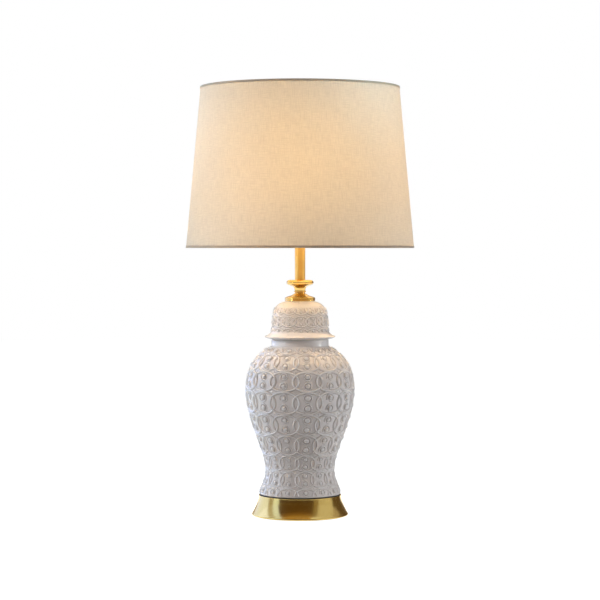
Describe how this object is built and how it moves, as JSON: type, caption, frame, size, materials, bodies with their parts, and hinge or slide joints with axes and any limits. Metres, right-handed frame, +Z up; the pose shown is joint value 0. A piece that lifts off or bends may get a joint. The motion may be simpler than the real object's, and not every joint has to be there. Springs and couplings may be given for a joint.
{
  "type": "table lamp",
  "caption": "Table lamp with a lidded porcelain jar body, brass foot and stem, harp, screw lampholder and linen drum shade.",
  "frame": {"origin": "centre of the underside of the felt, on the surface that the lamp stands on, on the lamp axis", "axes": "+Z up along the lamp axis; -Y is the front, where the switch knob is; the lead leaves at the back, +Y"},
  "size_m": [0.35, 0.35, 0.657],
  "materials": {
    "felt": "dark green wool felt, matt",
    "cover_plate": "black enamelled steel sheet",
    "zinc_steel": "zinc-plated steel fastenings and pipe",
    "brushed_brass": "spun brass, brushed and lacquered",
    "black_rubber": "moulded black rubber",
    "ballast_iron": "rough grey iron casting",
    "porcelain": "white porcelain with raised pattern under clear glaze",
    "white_nylon": "natural nylon",
    "clear_seal": "soft translucent seal",
    "polished_brass": "turned brass, polished and lacquered",
    "harp_brass": "brass-plated steel wire and strip, satin",
    "holder_brass": "thin drawn brass shell",
    "fibre_sleeve": "vulcanised fibre insulation",
    "moulded_black": "moulded phenolic",
    "contact_brass": "thin bright brass contacts",
    "knob_black": "ribbed moulded knob",
    "cam_fibre": "laminated switch cam",
    "frosted_glass": "frosted bulb envelope",
    "bulb_cap_metal": "bright aluminium screw cap",
    "cap_insulator": "black vitrite insulator",
    "solder_tip": "tinned contact",
    "led_carrier": "white carrier column",
    "white_wire": "white enamelled steel wire",
    "shade_liner": "stiff white styrene liner",
    "linen": "off-white slub linen",
    "hem_tape": "folded linen hem tape"
  },
  "bodies": {
    "lamp_stand": {"felt_pad": "felt", "bottom_cover": "cover_plate", "cover_screws": "zinc_steel", "brass_foot": "brushed_brass", "cord_bushing": "black_rubber", "ballast_weight": "ballast_iron", "bottom_nut": "zinc_steel", "bottom_washer": "zinc_steel", "lamp_pipe": "zinc_steel", "foot_gasket": "black_rubber", "floor_bush": "white_nylon", "jar": "porcelain", "lid_seal": "clear_seal", "lid": "porcelain", "lid_bush": "white_nylon", "cap_washer": "clear_seal", "vase_cap": "polished_brass", "neck_spacer": "polished_brass", "check_ring": "polished_brass", "stem_tube": "polished_brass", "stem_collar": "polished_brass", "harp_saddle": "harp_brass", "harp": "harp_brass", "socket_cap": "holder_brass", "socket_set_screw": "zinc_steel", "socket_shell": "holder_brass", "socket_sleeve": "fibre_sleeve", "socket_core": "moulded_black", "screw_shell": "contact_brass", "centre_contact": "contact_brass", "terminal_screws": "contact_brass"},
    "left_ferrule": {"left_ferrule": "harp_brass"},
    "right_ferrule": {"right_ferrule": "harp_brass"},
    "switch": {"switch_cam": "cam_fibre", "switch_shaft": "zinc_steel", "switch_knob": "knob_black"},
    "bulb": {"bulb_globe": "frosted_glass", "bulb_screw_cap": "bulb_cap_metal", "bulb_insulator": "cap_insulator", "bulb_tip": "solder_tip", "bulb_led_column": "led_carrier"},
    "shade": {"shade_top_frame": "white_wire", "shade_bottom_ring": "white_wire", "shade_liner": "shade_liner", "shade_cloth": "linen", "top_hem": "hem_tape", "bottom_hem": "hem_tape"},
    "finial": {"finial": "polished_brass"}
  },
  "joints": [
    {"name": "shade_swivel", "type": "hinge", "parent": "lamp_stand", "child": "shade", "pos_m": [0, 0, 0.637], "axis": [0, 0, 1], "continuous": true},
    {"name": "finial_turn", "type": "hinge", "parent": "lamp_stand", "child": "finial", "pos_m": [0, 0, 0.645], "axis": [0, 0, 1], "range_deg": [0, 3600]},
    {"name": "bulb_turn", "type": "hinge", "parent": "lamp_stand", "child": "bulb", "pos_m": [0, 0, 0.47], "axis": [0, 0, 1], "range_deg": [0, 1260]},
    {"name": "switch_turn", "type": "hinge", "parent": "lamp_stand", "child": "switch", "pos_m": [0, -0.03, 0.447], "axis": [0, 1, 0], "continuous": true},
    {"name": "left_ferrule_slide", "type": "slide", "parent": "lamp_stand", "child": "left_ferrule", "axis": [0, 0, 1], "range_m": [0, 0.015]},
    {"name": "right_ferrule_slide", "type": "slide", "parent": "lamp_stand", "child": "right_ferrule", "axis": [0, 0, 1], "range_m": [0, 0.015]}
  ]
}
